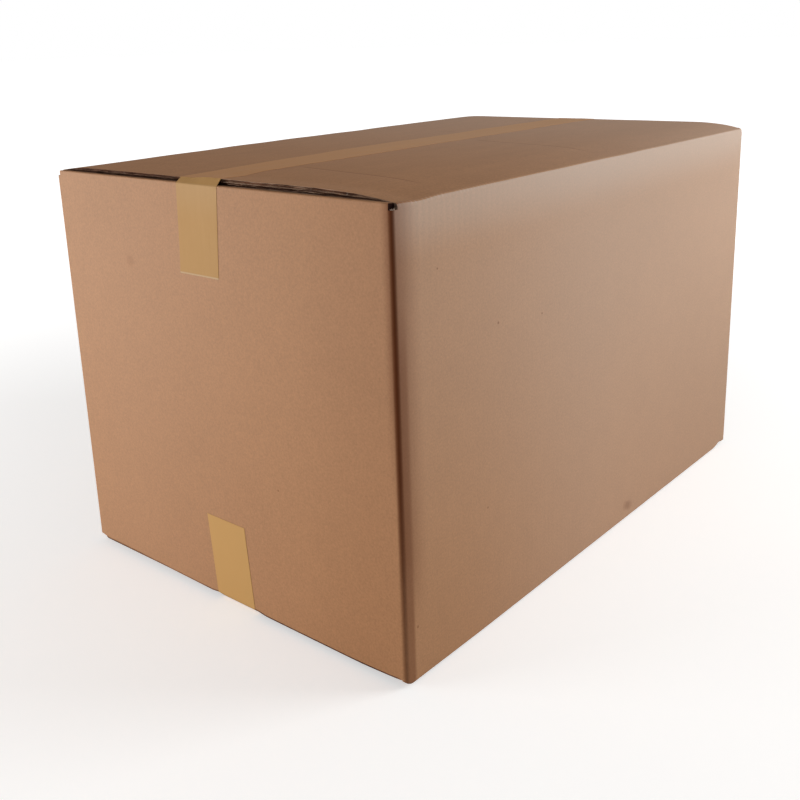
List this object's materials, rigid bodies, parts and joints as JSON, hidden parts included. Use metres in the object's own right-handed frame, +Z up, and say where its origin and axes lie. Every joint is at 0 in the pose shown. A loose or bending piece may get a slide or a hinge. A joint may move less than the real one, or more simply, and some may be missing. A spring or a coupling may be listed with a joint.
{
  "type": "double wall corrugated box",
  "caption": "Closed rectangular shipping box of double wall corrugated board, with folded flaps, taped along its top and bottom centre seams.",
  "frame": {"origin": "on the surface that the box stands on, under the middle of its length and width", "axes": "+X along the length, with the pictured end panel at -X; +Y along the width, with the pictured side panel at -Y; +Z up"},
  "size_m": [0.601, 0.4, 0.3795],
  "materials": {
    "kraft_board": "plain brown kraft liner, matt",
    "packing_tape": "buff film, satin"
  },
  "bodies": {
    "root": {"carton_blank": "kraft_board", "top_tape": "packing_tape", "bottom_tape": "packing_tape"}
  },
  "joints": []
}
